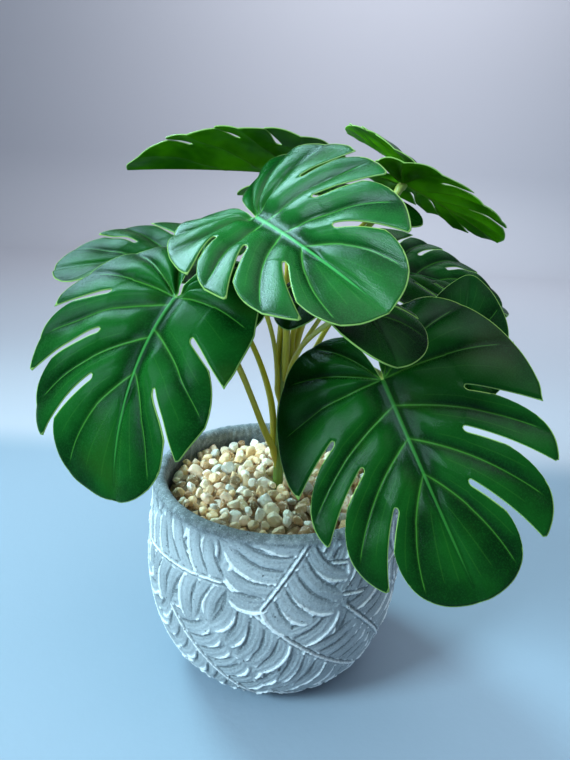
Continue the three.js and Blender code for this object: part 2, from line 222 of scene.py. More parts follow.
def blend(low, high, share):
    return tuple(a + (b - a) * share for a, b in zip(low, high))


def times(color, factor):
    return tuple(factor * c for c in color)


def leaf_material(name, tone, coat):
    """Coated woven leaf: green with fine yellow veins, a pale cut edge, a duller, yellower underside
    painted brighter as light shining through it, painted highlight on the quilting's crests and painted
    shade in its valleys and along the midrib.
    """
    m = Nodes(name)
    place = m.place()
    patch = m.noise(place, 0.055, 3.0)
    grain = m.noise(place, 2.2, 2.0, 0.6)
    dark = blend((0.0005, 0.009, 0.0006), (0.002, 0.048, 0.006), tone)
    light = blend((0.0022, 0.033, 0.001), (0.008, 0.12, 0.017), tone)
    top = m.mix(m.ramp(patch, 0.32, 0.68), dark, light)
    olive = m.mix(m.ramp(m.noise(place, 0.03, 2.0), 0.55, 0.75, 0.0, 0.4), top, (0.03, 0.065, 0.005))
    # Painted highlight on the quilting's crests, then painted shade in its valleys by the veins.
    top = m.mix(m.ramp(m.value("crest"), 0.2, 1.0, 0.0, 0.5), olive, times(light, 1.5))
    top = m.mix(m.ramp(m.value("crest"), 0.0, 0.6, 0.6, 0.0), top, times(dark, 0.6))
    top = m.mix(m.ramp(grain, 0.45, 0.75, 0.0, 0.25), top, times(light, 1.8))
    vein = blend((0.045, 0.16, 0.012), (0.09, 0.42, 0.06), tone)
    top = m.mix(m.ramp(m.value("vein2"), 0.5, 1.4, 0.1, 0.0), top, vein)
    top = m.mix(m.ramp(m.value("vein"), 1.2, 4.5, 0.13, 0.0), top, vein)
    top = m.mix(m.ramp(m.value("vein"), 0.45, 1.4, 0.62, 0.0), top, vein)
    rib = blend((0.03, 0.13, 0.008), (0.06, 0.46, 0.1), tone)
    # Painted shade in the groove along the midrib.
    top = m.mix(m.ramp(m.value("rib"), 1.2, 5.0, 0.45 - 0.35 * tone, 0.0), top, times(dark, 0.6))
    top = m.mix(m.ramp(m.value("rib"), 0.4, 1.3, 0.5 + 0.4 * tone, 0.0), top, rib)
    # The underside's yellower green is its own colour; it is also painted brighter to stand in for light
    # shining through the leaf.
    low_dark, low_light = (0.024, 0.15, 0.001), (0.1, 0.4, 0.002)
    low = m.mix(m.ramp(patch, 0.3, 0.7), low_dark, low_light)
    low = m.mix(m.ramp(m.value("vein"), 0.6, 1.7, 0.55, 0.0), low, (0.07, 0.18, 0.01))
    low = m.mix(m.ramp(m.value("rib"), 0.6, 1.6, 0.8, 0.0), low, (0.11, 0.22, 0.02))
    under = m.value("under")
    color = m.mix(under, top, low)
    color = m.mix(m.ramp(m.value("edge"), 0.14, 0.34, 0.9, 0.0), color, (0.3, 0.5, 0.12))
    m.set(Base_Color=color, Specular_IOR_Level=0.08, IOR=1.25)
    m.set(Coat_Weight=coat, Coat_IOR=1.5, Coat_Roughness=0.25)
    shine = m.math("ADD", m.ramp(grain, 0.2, 0.8, -0.05, 0.07), 0.27)
    rough = m.math("ADD", shine, m.math("MULTIPLY", under, 0.26), True)
    m.set(Roughness=rough, Specular_Tint=(0.6, 1.0, 0.88))
    split = m.add("SeparateXYZ")
    m.plug(place, split.inputs[0])
    weave = [m.math("SINE", m.math("MULTIPLY", split.outputs[k], 2 * math.pi / THREAD)) for k in (0, 1)]
    cloth = m.math("MULTIPLY", weave[0], weave[1])
    height = m.math("ADD", m.math("MULTIPLY", cloth, 0.35), grain)
    normal = m.bump(height, 0.28, 0.0002)
    m.set(Normal=normal, Coat_Normal=normal)
    return m.material


def stem_material(name, low, high, streak):
    """Moulded stem: one colour at the foot, one at the head, with streaks and small dark spots."""
    m = Nodes(name)
    place = m.place()
    fibre = m.noise(place, 1.0, 4.0, 0.65)
    along = m.value("along")
    color = m.mix(m.ramp(along, 0.45, 1.0), low, high)
    color = m.mix(m.ramp(fibre, 0.45, 0.75, 0.0, 0.55), color, streak)
    spots = m.noise(place, 3.5, 2.0, 0.5)
    color = m.mix(m.ramp(spots, 0.66, 0.74, 0.0, 0.5), color, (0.16, 0.1, 0.02))
    m.set(Base_Color=color, Roughness=m.ramp(fibre, 0.2, 0.8, 0.34, 0.55), Specular_IOR_Level=0.5)
    m.set(Normal=m.bump(fibre, 0.35, 0.0002))
    return m.material


def pot_material():
    """Cast cement: dark in the hollows of the relief and pale on its ridges, partly a pale wash and partly
    painted shade and painted highlight, with sand and pits.
    """
    m = Nodes("cement")
    place = m.place("place")
    cloud = m.noise(place, 0.05, 4.0)
    sand = m.noise(place, 1.6, 3.0, 0.7)
    pits = m.noise(place, 0.75, 2.0, 0.5)
    base = m.mix(m.ramp(cloud, 0.3, 0.7), (0.33, 0.365, 0.385), (0.46, 0.5, 0.52))
    high = m.value("high")
    # Darker hollows and pale ridges: partly the wash's own colour, partly painted shade in the hollows and
    # painted highlight on the ridges.
    base = m.mix(m.ramp(high, 0.14, 0.42, 0.88, 0.0), base, (0.13, 0.155, 0.165))
    base = m.mix(m.ramp(high, 0.52, 0.72, 0.0, 1.0), base, (0.9, 0.92, 0.92))
    base = m.mix(m.ramp(sand, 0.5, 0.7, 0.0, 0.45), base, (0.7, 0.74, 0.76))
    base = m.mix(m.ramp(m.noise(place, 1.1, 2.0, 0.6), 0.58, 0.7, 0.0, 0.5), base, (0.2, 0.24, 0.26))
    base = m.mix(m.ramp(pits, 0.68, 0.74, 0.0, 0.8), base, (0.06, 0.07, 0.075))
    m.set(Base_Color=base, Roughness=m.ramp(sand, 0.3, 0.7, 0.78, 0.95), Specular_IOR_Level=0.35)
    relief = m.math("SUBTRACT", sand, m.ramp(pits, 0.68, 0.76, 0.0, 1.2))
    m.set(Normal=m.bump(relief, 0.8, 0.0005))
    return m.material


def pebble_material():
    """Crushed stone in creams, tans and browns, chosen stone by stone, mottled, with painted shade making
    them darker deep down.
    """
    m = Nodes("pebble")
    place = m.place("place")
    tone = m.value("tone")
    colors = m.add("ValToRGB")
    ramp = colors.color_ramp
    ramp.interpolation = "CONSTANT"
    stones = [(0.0, (1.0, 0.7, 0.38)), (0.2, (1.0, 0.8, 0.55)), (0.42, (0.96, 0.7, 0.48)),
              (0.54, (1.0, 0.9, 0.76)), (0.68, (0.62, 0.36, 0.17)), (0.78, (0.7, 0.5, 0.28)),
              (0.86, (0.62, 0.6, 0.52)), (0.92, (0.4, 0.22, 0.1)), (0.96, (0.3, 0.2, 0.1))]
    while len(ramp.elements) < len(stones):
        ramp.elements.new(0.5)
    for element, (at, color) in zip(ramp.elements, stones):
        element.position = at
        element.color = (*color, 1.0)
    m.plug(tone, colors.inputs[0])
    mottle = m.noise(place, 0.6, 4.0, 0.6)
    color = m.mix(m.ramp(mottle, 0.54, 0.72, 0.0, 0.5), colors.outputs[0], (0.62, 0.37, 0.15))
    color = m.mix(m.ramp(m.noise(place, 1.0, 3.0), 0.55, 0.68, 0.0, 0.65), color, (1.0, 0.88, 0.72))
    # Painted shade: stones and bed lying deep are darkened towards brown.
    deep = m.value("deep")
    color = m.mix(m.ramp(deep, 0.0, 1.0, 0.0, 0.8), color, (0.3, 0.2, 0.1))
    m.set(Base_Color=color, Roughness=m.ramp(mottle, 0.3, 0.7, 0.28, 0.6), Specular_IOR_Level=0.5)
    m.set(Subsurface_Weight=0.08, Subsurface_Radius=(1.0, 0.6, 0.4), Subsurface_Scale=0.0008)
    m.set(Normal=m.bump(m.noise(place, 2.4, 4.0, 0.65), 0.4, 0.0003))
    return m.material


def foam_material():
    """Dull green foam with open cells."""
    m = Nodes("foam")
    place = m.add("TexCoord").outputs["Object"]
    cells = m.noise(place, 900.0, 3.0, 0.7)
    m.set(Base_Color=m.mix(cells, (0.05, 0.07, 0.04), (0.12, 0.15, 0.09)), Roughness=0.95)
    m.set(Normal=m.bump(cells, 0.8, 0.0008))
    return m.material


# ---- Leaves ----
HEART = ((0, 1), (20, 0.93), (40, 0.8), (57, 0.7), (78, 0.61), (98, 0.545), (122, 0.49), (148, 0.41),
         (165, 0.33))


def heart(angle):
    """The margin's distance from the petiole, as a share of the length, by angle from the tip."""
    at, radius = (np.array(v, float) for v in zip(*HEART))
    slope = np.gradient(radius, at)
    slope[0] = 0
    k = np.clip(np.searchsorted(at, angle, side="right") - 1, 0, len(at) - 2)
    width = at[k + 1] - at[k]
    t = (angle - at[k]) / width
    return ((2 * t**3 - 3 * t**2 + 1) * radius[k] + (t**3 - 2 * t**2 + t) * width * slope[k]
            + (3 * t**2 - 2 * t**3) * radius[k + 1] + (t**3 - t**2) * width * slope[k + 1])


def flat_point(leaf, vein, share):
    """A point of the flat half blade: vein 0 is the notch's edge, 1 the midrib; share 1 is the margin."""
    angle = SINUS * (1 - vein)
    radius = heart(angle) * leaf["length"]
    ex = radius * np.cos(np.radians(angle))
    slim = 1 - leaf.get("taper", 0) * np.clip(ex / leaf["length"], 0, 1) ** 2
    ey = radius * np.sin(np.radians(angle)) * leaf["wide"] * slim
    start = np.clip((PALM - angle) / PALM, 0, 1) * MIDRIB_SHARE * leaf["length"]
    bow = 0.1 + 0.06 * np.clip(1 - angle / 90, 0, 1)
    off = np.clip(angle / 12, 0, 1)
    hx = (start + ex) / 2 - ey * bow * off
    hy = (ey / 2 + (ex - start) * bow) * off
    p, q, r = (1 - share) ** 2, 2 * share * (1 - share), share**2
    x = p * start + q * hx + r * ex
    half = 0.25 * np.clip((1 - x / leaf["length"]) * 4, 0, 1)
    y = half + (q * hy + r * ey) * (1 - half / (leaf["length"] * 0.6))
    return x, y


def lift(leaf, side, x, y, height):
    """Folds, arches and bends points of one half; height stands off the blade's middle surface."""
    i = 0 if side > 0 else 1
    span = 0.6 * leaf["length"] * leaf["wide"]
    up = height - leaf["droop"][i] * span * (y / span) ** 2
    fold = math.radians(leaf["fold"][i])
    across = y * math.cos(fold) - up * math.sin(fold) * smooth(0, 2.5, y)
    rise = y * math.sin(fold) + up * math.cos(fold)
    curve = leaf["length"] / math.radians(leaf["bend"])
    turn = x / curve
    reach = curve + rise
    return np.stack([np.sin(turn) * reach, side * across, np.cos(turn) * reach - curve], -1)


def axes(turn):
    """A leaf's own directions from its heading, pitch and roll: along the midrib, to its left, and up."""
    h, p, r = (math.radians(v) for v in turn)
    along = Vector((math.cos(h) * math.cos(p), math.sin(h) * math.cos(p), math.sin(p)))
    level = Vector((-math.sin(h), math.cos(h), 0))
    rise = along.cross(level)
    left = level * math.cos(r) + rise * math.sin(r)
    up = rise * math.cos(r) - level * math.sin(r)
    return along, left, up


def seat(leaf):
    x, y, z = leaf["at"]
    return Vector((x, y, LEVEL + z))


INNER_ROWS, OUTER_ROWS = 14, 26
# In millimetres: half a slit's width, the quilting's height and half a vein's width.
SLIT_HALF, QUILT, VEIN_HALF = 0.95, 2.3, 0.29


def half_of(leaf, side):
    """The leaf with the width of one half; the left half can have its own."""
    return dict(leaf, wide=leaf.get("wide_left", leaf["wide"])) if side > 0 else leaf


def half_blade(leaf, side, seed, mouth, corner):
    """Grids of flat x, y, quilting height and vein distances, one per finger, from midrib to margin."""
    cuts = leaf.get("cuts_right", leaf["cuts"]) if side < 0 else leaf["cuts"]
    leaf = half_of(leaf, side)
    ends = [0.0] + [1 - c / SINUS for c in cuts] + [1.0]
    depth = [leaf["depth"][min(max(k, 0), len(leaf["depth"]) - 1)] for k in range(-1, len(cuts) + 1)]
    narrow = min(1.0, leaf["length"] / 60)
    rng = np.random.default_rng(seed)
    grids = []
    for j in range(len(ends) - 1):
        first, last = j == 0, j == len(ends) - 2
        veins = [0.2, 0.47, 0.76] if first else [0.42] if last else [0.5]
        faint = [0.08, 0.34, 0.62, 0.9] if first else [0.2, 0.66, 0.84] if last else [0.24, 0.77]
        n = 44 if first else 22 if last else 18
        t = np.linspace(0, 1, n + 1)
        for v in veins + faint:
            t[1 + np.argmin(abs(t[1:-1] - v))] = v
        slit = depth[j] + (depth[j + 1] - depth[j]) * t
        reach = 1 - 0.15 * (1 - np.clip(3 * t, 0, 1)) ** 2 if first else 1 - corner * (1 - t) ** 4.2
        if not last:
            reach = reach - 0.025 * smooth(0.93, 1, t)
        rows = []
        for k in range(INNER_ROWS + 1):
            rows.append((k / INNER_ROWS) ** 1.15 * slit)
        for k in range(1, OUTER_ROWS + 1):
            rows.append(slit + (reach - slit) * (k / OUTER_ROWS) ** 1.35)
        share = np.array(rows)
        a = np.empty_like(share)
        for k in range(len(share)):
            edges = []
            for at, col, sign, cut in ((ends[j], 0, 1, not first), (ends[j + 1], -1, -1, not last)):
                r = share[k, col]
                x0, y0 = flat_point(leaf, at - 0.01, r)
                x1, y1 = flat_point(leaf, min(at + 0.01, 1.0), r)
                scale = math.hypot(x1 - x0, y1 - y0) / 0.02
                open_mm = 0.0
                if cut:
                    run = max(0.0, r - slit[col]) * leaf["length"] * 0.8
                    far = min(1.0, max(0.0, r - slit[col]) / (1 - slit[col]))
                    open_mm = SLIT_HALF * narrow * math.sqrt(max(0.0, 1 - (1 - min(1.0, run / 1.6)) ** 2))
                    open_mm *= 1 + (mouth - 1) * float(smooth(0.1, 0.75, far))
                edges.append(sign * open_mm / max(scale, 1.0))
            a[k] = ends[j] + (ends[j + 1] - ends[j]) * t + edges[0] * (1 - t) ** 3 + edges[1] * t**3
        x, y = flat_point(leaf, a, share)
        x1, y1 = flat_point(leaf, np.minimum(a + 0.004, 1.0), share)
        x0, y0 = flat_point(leaf, a - 0.004, share)
        scale = np.hypot(x1 - x0, y1 - y0) / 0.008 * np.maximum(a[:, -1:] - a[:, :1], 1e-6)
        near = np.min([abs(t - v) for v in veins], axis=0)[None] * scale
        taper = VEIN_HALF * (1.1 - 0.75 * smooth(0, 0.85, share)) * narrow**0.5 + 0.02
        vein = near / taper + 6 * smooth(0.86, 0.97, share)
        near2 = np.min([abs(t - v) for v in faint], axis=0)[None] * scale
        vein2 = near2 / 0.2 + 4 * smooth(0.75, 0.9, share) + 4 * (1 - smooth(0.12, 0.25, share))
        marks = np.array([-0.02 if first else 0.0] + veins + [1.0 + (0.25 if last else 0.0)])
        k = np.clip(np.searchsorted(marks, t, side="right") - 1, 0, len(marks) - 2)
        phase = (t - marks[k]) / (marks[k + 1] - marks[k])
        bulge = np.sin(math.pi * phase)
        bulge = np.where(k == 0, np.cos(math.pi / 2 * phase), bulge)
        bulge = np.where(k == len(marks) - 2, np.sin(math.pi / 2 * phase), bulge)
        crest = np.clip(bulge, 0, 1)[None] ** 0.8 * smooth(0.02, 0.22, share)
        crest = crest * (1 - 0.5 * smooth(0.55, 1, share))
        amp = QUILT * narrow * (0.75 if last else 1.0)
        curl = rng.uniform(-1.3, 0.5) * narrow
        height = amp * (crest - 0.45) * smooth(0, 0.15, share) + curl * smooth(0.45, 1.0, share) ** 2
        height += 0.8 * narrow * noise2(x * 0.1 + seed, y * 0.1, seed) * smooth(0.1, 0.5, share)
        if last:
            height = height * (1 - smooth(0.6, 1.0, t))
        grids.append(dict(x=x, y=y, share=share, vein=vein, vein2=vein2, crest=crest, height=height))
    return grids


def leaf_piece(name, leaf):
    """The whole blade as one closed sheet: two halves of fingers, a midrib, a top and an under side."""
    seed = sum(ord(c) for c in name)
    flat, quads, index = [], [], {}
    data = {k: [] for k in ("vein", "vein2", "crest", "height", "side")}

    def point(side, x, y, values):
        key = (side, round(x * 200), round(y * 200))
        if key not in index:
            index[key] = len(flat)
            flat.append((x, y))
            for k in ("vein", "vein2", "crest", "height"):
                data[k].append(values[k])
            data["side"].append(side)
        return index[key]

    spine = {}
    for side in (1, -1):
        spine[side] = []
        for grid in half_blade(leaf, side, seed + (side > 0), *FINGERS.get(name, USUAL_FINGER)):
            rows, cols = grid["x"].shape
            ids = np.empty((rows, cols), int)
            for r in range(rows):
                for c in range(cols):
                    ids[r, c] = point(side, grid["x"][r, c], grid["y"][r, c],
                                      {k: grid[k][r, c] for k in ("vein", "vein2", "crest", "height")})
            for r in range(rows - 1):
                for c in range(cols - 1):
                    loop = [ids[r, c], ids[r, c + 1], ids[r + 1, c + 1], ids[r + 1, c]]
                    if side < 0:
                        loop.reverse()
                    loop = [v for i, v in enumerate(loop) if v != loop[i - 1]]
                    if len(loop) > 2:
                        quads.append(loop)
            for v in ids[0]:
                if not spine[side] or spine[side][-1] != v:
                    spine[side].append(v)
        spine[side] += list(ids[1:, -1])
    i = j = 0
    left, right = spine[1], spine[-1]
    while i < len(left) - 1 or j < len(right) - 1:
        if j == len(right) - 1 or (i < len(left) - 1 and flat[left[i + 1]][0] <= flat[right[j + 1]][0]):
            quads.append([left[i], right[j], left[i + 1]])
            i += 1
        else:
            quads.append([left[i], right[j], right[j + 1]])
            j += 1
    flat = np.array(flat)
    side = np.array(data["side"])
    height = np.array(data["height"])
    length = leaf["length"]
    count = len(flat)
    # Open edges of the flat sheet make the margin.
    seen = {}
    for loop in quads:
        for a, b in zip(loop, loop[1:] + loop[:1]):
            if (b, a) in seen:
                del seen[(b, a)]
            else:
                seen[(a, b)] = True
    rim = list(seen)
    rim_at = sorted({a for a, _ in rim})
    both = np.column_stack([flat[:, 0], flat[:, 1] * side])
    edge = np.full(count, 99.0)
    for start in range(0, len(rim_at), 64):
        chunk = both[rim_at[start:start + 64]]
        edge = np.minimum(edge, np.sqrt(((both[:, None] - chunk[None]) ** 2).sum(-1)).min(1))
    narrow = min(1.0, length / 60)
    rib_half = narrow * (0.72 - 0.55 * np.clip(flat[:, 0] / length, 0, 1)) + 0.05
    rib = np.abs(flat[:, 1]) / rib_half + 0.8 * smooth(0.75, 0.93, flat[:, 0] / length)
    rib += 5 * smooth(0.92, 0.97, flat[:, 0] / length)
    rib += 4 * (flat[:, 0] < -0.5)
    ridge = np.exp(-(flat[:, 1] / (1.25 * rib_half)) ** 2) * (flat[:, 0] > -1.0)
    ridge = ridge * (1 - 0.7 * flat[:, 0] / length)
    trough = np.exp(-((flat[:, 1] - 2.2 * rib_half) / 1.2) ** 2)
    thick = BLADE_THICK / 2 * (0.5 + 0.5 * smooth(0, 0.7, edge))
    furrow = np.exp(-((np.array(data["vein"]) / 2.2) ** 2)) * 0.12
    top = height + thick + 0.35 * narrow * ridge - 0.35 * narrow * trough - furrow
    low = height - thick - 0.7 * narrow * ridge - furrow
    verts = []
    for h in (top, low):
        p = np.where((side > 0)[:, None], lift(half_of(leaf, 1), 1, flat[:, 0], flat[:, 1], h),
                     lift(leaf, -1, flat[:, 0], flat[:, 1], h))
        verts.append(p)
    verts = np.concatenate(verts)
    basis = np.array([list(v) for v in axes(leaf["turn"])])
    verts = verts @ basis + np.array(seat(leaf))
    faces = quads + [[v + count for v in reversed(loop)] for loop in quads]
    faces += [[b, a, a + count, b + count] for a, b in rim]
    twice = lambda v: np.concatenate([v, v])
    blade = np.column_stack([twice(both[:, 0]), twice(both[:, 1]), np.zeros(2 * count)])
    attributes = [
        ("vein", twice(np.array(data["vein"]))), ("vein2", twice(np.array(data["vein2"]))),
        ("crest", twice(np.array(data["crest"]))), ("rib", twice(rib)), ("edge", twice(edge)),
        ("under", np.repeat([0.0, 1.0], count)), ("blade", blade + seed * 3.7),
    ]
    piece = build("blade_" + name, verts, faces, attributes)
    coat = COAT.get(name, USUAL_COAT)
    piece.data.materials.append(leaf_material("coated_leaf_" + name, PAINTED_LIGHT_TONE[name], coat))
    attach(piece, "root")
    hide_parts("leaf_" + name)
    return piece


# ---- Stems ----
def bezier(points, t):
    a, b, c, d = (np.array(p) for p in points)
    t = np.asarray(t)[:, None]
    return (1 - t) ** 3 * a + 3 * t * (1 - t) ** 2 * b + 3 * t**2 * (1 - t) * c + t**3 * d


def tube(path, radii, sides=20, flute=0.05, lobes=5, twist=0.0, spin=0.0):
    """A closed fluted tube along a path: verts, faces, and each vert's share of the way along."""
    path = np.asarray(path, float)
    tangent = np.gradient(path, axis=0)
    tangent /= np.linalg.norm(tangent, axis=1)[:, None]
    normal = np.cross(tangent[0], (0.31, 0.52, 0.79))
    verts, share = [], []
    ring = np.linspace(0, 2 * math.pi, sides, endpoint=False)
    for k, (p, t) in enumerate(zip(path, tangent)):
        normal = normal - t * normal.dot(t)
        normal /= np.linalg.norm(normal)
        other = np.cross(t, normal)
        r = radii[k] * (1 + flute * np.cos(lobes * (ring + twist * k / len(path)) + spin))
        across, aside = (r * np.cos(ring))[:, None], (r * np.sin(ring))[:, None]
        verts.append(p + across * normal + aside * other)
        share += [k / (len(path) - 1)] * sides
    verts = np.concatenate(verts)
    faces = []
    for k in range(len(path) - 1):
        for s in range(sides):
            a, b = k * sides + s, k * sides + (s + 1) % sides
            faces.append([a, b, b + sides, a + sides])
    for end, flip in ((0, True), (len(path) - 1, False)):
        centre = len(verts)
        bulge = 0.35 * radii[end] * (1 if end else -1)
        verts = np.vstack([verts, path[end] + tangent[end] * bulge])
        share.append(float(end > 0))
        for s in range(sides):
            a, b = end * sides + s, end * sides + (s + 1) % sides
            faces.append([b, a, centre] if flip else [a, b, centre])
    return verts, faces, np.array(share)


def trunk_radius(z):
    return TRUNK_R + (TRUNK_TIP_R - TRUNK_R) * np.clip((z - LEVEL) / (TRUNK_TOP - LEVEL), 0, 1)


def petiole_piece(name, leaf, stem, material):
    along, left, up = axes(leaf["turn"])
    large = len(leaf["cuts"]) > 1 and leaf["length"] > 45
    radius = STEM_R if large else STEM_SMALL_R
    angle, height = math.radians(stem["root"][0]), LEVEL + stem["root"][1]
    out = Vector((math.cos(angle), math.sin(angle), 0))
    off = trunk_radius(height) + 0.3 + radius
    foot = out * off + Vector((0, 0, height))
    end = seat(leaf) - up * (radius + BLADE_THICK / 2 + 0.7) - along * 0.5
    arrive = (along * stem["arrive"] + up * (1 - stem["arrive"])).normalized()
    rise = out * stem.get("lean", 0) + Vector((0, 0, stem["lift"]))
    curve = [foot, foot + rise, end - arrive * stem.get("bow", 16), end]
    path = bezier(curve, np.linspace(0, 1, 64))
    # The foot leaves the main stem's own surface, and the head spreads into the blade's joint.
    root = np.array(out * (off * 0.45) + Vector((0, 0, height - 9)))
    lead = np.linspace(0, 1, 9)[:-1, None]
    base = root + (path[0] - root) * (lead * lead * (3 - 2 * lead) * [1, 1, 0] + lead * [0, 0, 1])
    tip = np.array(seat(leaf) - up * 0.2 + along * 1.4)
    head = path[-1] + (tip - path[-1]) * np.linspace(0, 1, 7)[1:, None]
    path = np.concatenate([base, path, head])
    s = np.linspace(0, 1, len(path))
    radii = radius * (0.55 + 0.6 * smooth(0, 0.1, s) - 0.17 * smooth(0.14, 0.5, s)
                      + 0.3 * smooth(0.82, 0.93, s) - 0.55 * smooth(0.955, 1, s))
    wobble = [noise2(s * 9, s * 0 + len(name)), noise2(s * 9, s * 0 + 40 + len(name)), s * 0]
    wobble = 0.12 * np.stack(wobble, -1)
    path = path + wobble * (smooth(0.1, 0.3, s) * (1 - smooth(0.8, 0.95, s)))[:, None]
    verts, faces, share = tube(path, radii, 20, 0.045, 4, 2.0, len(name))
    place = np.column_stack([verts[:, 0] * 2.2, verts[:, 1] * 2.2, verts[:, 2] * 0.12]) + len(name) * 5.3
    piece = build("petiole_piece_" + name, verts, faces, [("along", share), ("blade", place)])
    piece.data.materials.append(material)
    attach(piece, "root")
    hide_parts("petiole_" + name)
    return piece


def trunk_piece(material):
    z = np.linspace(TRUNK_FOOT, TRUNK_TOP, 90)
    path = np.column_stack([0.22 * noise2(z * 0.06, z * 0), 0.22 * noise2(z * 0.06, z * 0 + 9), z])
    radii = trunk_radius(z) * (1 + 0.04 * noise2(z * 0.2, z * 0 + 3)) * (1 - 0.75 * smooth(146, 150, z))
    verts, faces, share = tube(path, radii, 28, 0.06, 6, 0.8)
    place = np.column_stack([verts[:, 0] * 2.0, verts[:, 1] * 2.0, verts[:, 2] * 0.1])
    piece = build("trunk", verts, faces, [("along", share), ("blade", place)])
    piece.data.materials.append(material)
    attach(piece, "root")
    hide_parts("main_stem")


# ---- Pot ----
def outside_profile(steps):
    """The pot's outside from the base up to the lip, as radius and height."""
    def cubic(a, b, c, d, n):
        return bezier([(*a, 0), (*b, 0), (*c, 0), (*d, 0)], np.linspace(0, 1, n + 1))[:, :2]

    shoulder = POT_HEIGHT - POT_WALL / 2
    belly = (POT_BELLY_R, POT_BELLY_Z)
    low = cubic((POT_BASE_R, 0), (POT_BASE_R + 14, 3), (POT_BELLY_R, POT_BELLY_Z / 2), belly, steps)
    high = cubic(belly, (POT_BELLY_R, POT_BELLY_Z + 14), (POT_RIM_R + 0.4, shoulder - 10),
                 (POT_RIM_R, shoulder), steps)
    return np.concatenate([low, high[1:]])


CELL = 0.3  # one cell of the relief's grid, in millimetres
ROUND, TALL = 1184, 340  # its cells round the pot and up it
COPIES = 3
# One group of fronds, as place round the pot and up it, heading, length and leaflet length, in paint
# order. Heading 0 runs level to the right and 90 straight up.
FRONDS = (
    (4, 76, -10, 62, 19), (-30, 97, -12, 60, 15), (28, 97, -14, 62, 15), (-38, 18, 20, 52, 17),
    (8, 10, 10, 50, 17), (-60, 60, -70, 55, 21), (50, 96, -72, 66, 21), (-22, 34, -28, 60, 18),
    (30, 66, -48, 60, 21), (-48, 60, -46, 62, 18), (-14, 76, 184, 50, 23), (-18, 77, -39, 82, 24),
    (15, 97, -122, 34, 27),
)
SPACING = 6.4  # from one leaflet to the next, in millimetres
RELIEF_DEPTH = 0.95


def frond(relief, rng, u, v, heading, length, leaflet):
    """Embosses one palm frond: leaflets leave the midrib towards its tip, each laid on the last."""
    curve = rng.uniform(-0.15, 0.15)
    gap = SPACING * (0.8 + 0.2 * leaflet / 24)
    n = max(4, int(length / gap))

    def put(x, y, value):
        up = np.clip(np.round(y / CELL).astype(int), 0, TALL - 1)
        relief[np.round(x / CELL).astype(int) % ROUND, up] = value

    for side in (1, -1):
        for k in range(n):
            s = (k + 0.4 + 0.3 * (side < 0)) / n
            h = heading + curve * (s - 0.5)
            cu = u + length * s * math.cos(heading + curve * (s - 1) / 2)
            cv = v + length * s * math.sin(heading + curve * (s - 1) / 2)
            size = leaflet * (0.55 + 0.45 * math.sin(math.pi * min(1, s * 0.85 + 0.2)))
            size *= rng.uniform(0.92, 1.08)
            lean = side * math.radians(rng.uniform(36, 48))
            bow = side * math.radians(rng.uniform(50, 72))
            width = gap * rng.uniform(0.5, 0.58)
            along = np.arange(0, 1.0001, CELL * 0.4 / size)
            across = np.arange(-1, 1.0001, 0.045)
            a, c = np.meshgrid(along, across, indexing="ij")
            turn = h + lean + bow * a
            step = np.full(len(along), size / len(along))[:, None]
            x, y = np.cumsum(np.cos(turn) * step, axis=0), np.cumsum(np.sin(turn) * step, axis=0)
            taper = np.sqrt(np.clip(1 - np.clip((a - 0.62) / 0.38, 0, 1) ** 2.2, 0, 1))
            half = width * (0.8 + 0.2 * smooth(0, 0.3, a)) * taper
            x, y = x - np.sin(turn) * c * half, y + np.cos(turn) * c * half
            w = -c * side * half
            edge = half - 0.55
            crest = 0.95 * np.exp(-(((w - edge) / 0.5) ** 2)) * (1 - smooth(0.78, 1, a))
            profile = 0.3 + 0.25 * (w / width + 1) / 2
            profile += crest * (0.75 + 0.35 * noise2(a * 7 + k, c * 0 + u))
            profile += 0.12 * np.sin(9 * w / width + 3 * a) * (a > 0.1)
            profile -= 0.45 * (1 - smooth(-0.95 * width, -0.45 * width, w))
            put(cu + x, cv + y, profile)
    t = np.arange(0, 1.02, CELL * 0.35 / length)
    for w in np.arange(-0.95, 0.96, 0.1):
        h = heading + curve * (t - 1) / 2
        x = u + length * t * np.cos(h) - w * np.sin(heading)
        y = v + length * t * np.sin(h) + w * np.cos(heading)
        put(x, y, -0.25 if abs(w) > 0.55 else 1.0)


def blur(grid, radius):
    """A box blur, round the pot and up it."""
    kernel = np.ones(2 * radius + 1) / (2 * radius + 1)
    wrapped = np.concatenate([grid[-radius:], grid, grid[:radius]])
    grid = np.apply_along_axis(lambda v: np.convolve(v, kernel, "valid"), 0, wrapped)
    padded = np.pad(grid, ((0, 0), (radius, radius)), mode="edge")
    return np.apply_along_axis(lambda v: np.convolve(v, kernel, "valid"), 1, padded)


def pot_relief():
    """The whole relief as a grid round the pot and up it, from 0 in the grooves to 1 on the ridges."""
    rng = np.random.default_rng(5)
    relief = np.full((ROUND, TALL), 0.3)
    wide = ROUND * CELL
    for u, v, heading, length, leaflet in FRONDS:
        for k in range(COPIES):
            off = (rng.uniform(-4, 4), rng.uniform(-3, 3), rng.uniform(-6, 6)) if k else (0, 0, 0)
            frond(relief, rng, wide * (0.75 + k / COPIES) + u + off[0], v + off[1],
                  math.radians(heading + off[2]), length, leaflet)
    return blur(relief, 1)


